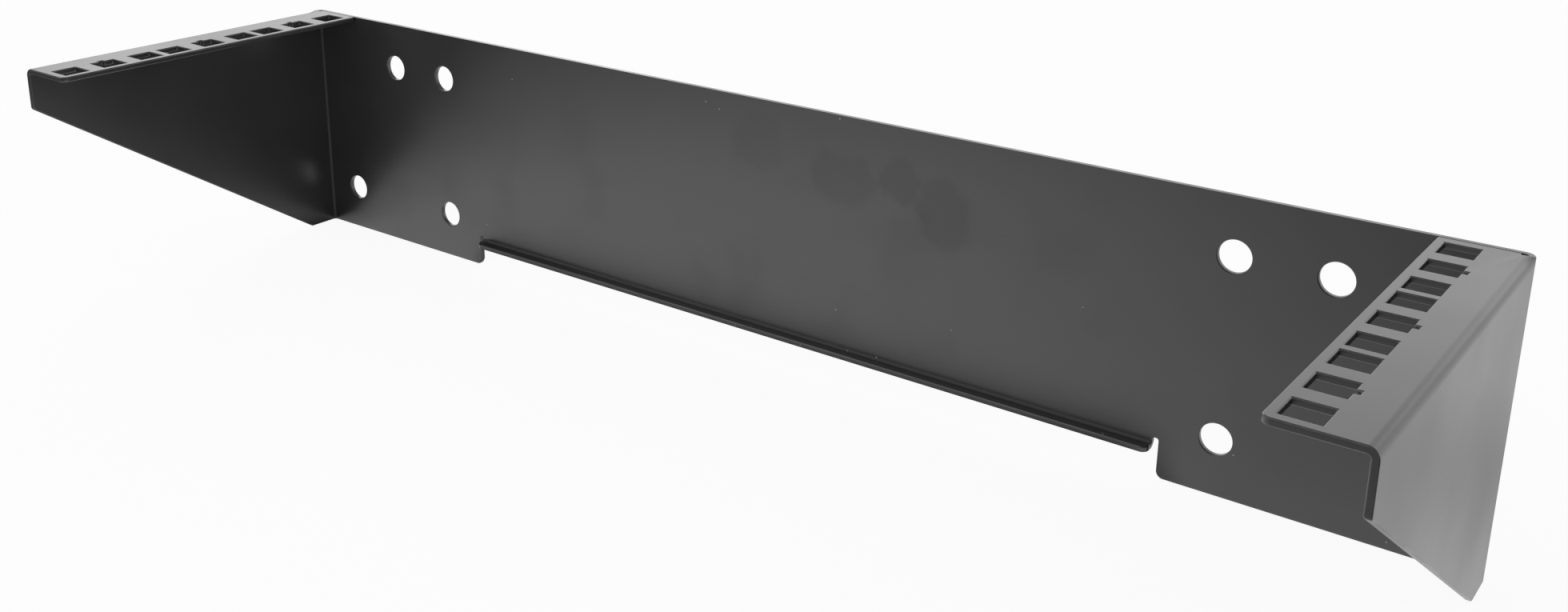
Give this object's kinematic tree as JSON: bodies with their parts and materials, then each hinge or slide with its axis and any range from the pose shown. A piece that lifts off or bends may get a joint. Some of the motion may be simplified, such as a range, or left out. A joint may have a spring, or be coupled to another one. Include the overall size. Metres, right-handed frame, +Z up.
{
  "type": "wall mount rack bracket",
  "caption": "Vertical wall mount rack bracket folded from black sheet steel: flat back plate with wall holes, tapered side wings and inward flanges with square cage nut holes.",
  "frame": {"origin": "on the wall face of the back plate, in the middle of the pattern of wall holes", "axes": "+X to the right seen from the front, +Y into the wall, +Z up; the wings reach forward along -Y"},
  "size_m": [0.5, 0.1394, 0.098],
  "materials": {
    "powder_coat": "satin black powder coat with a fine texture"
  },
  "bodies": {
    "root": {"bracket": "powder_coat"}
  },
  "joints": []
}
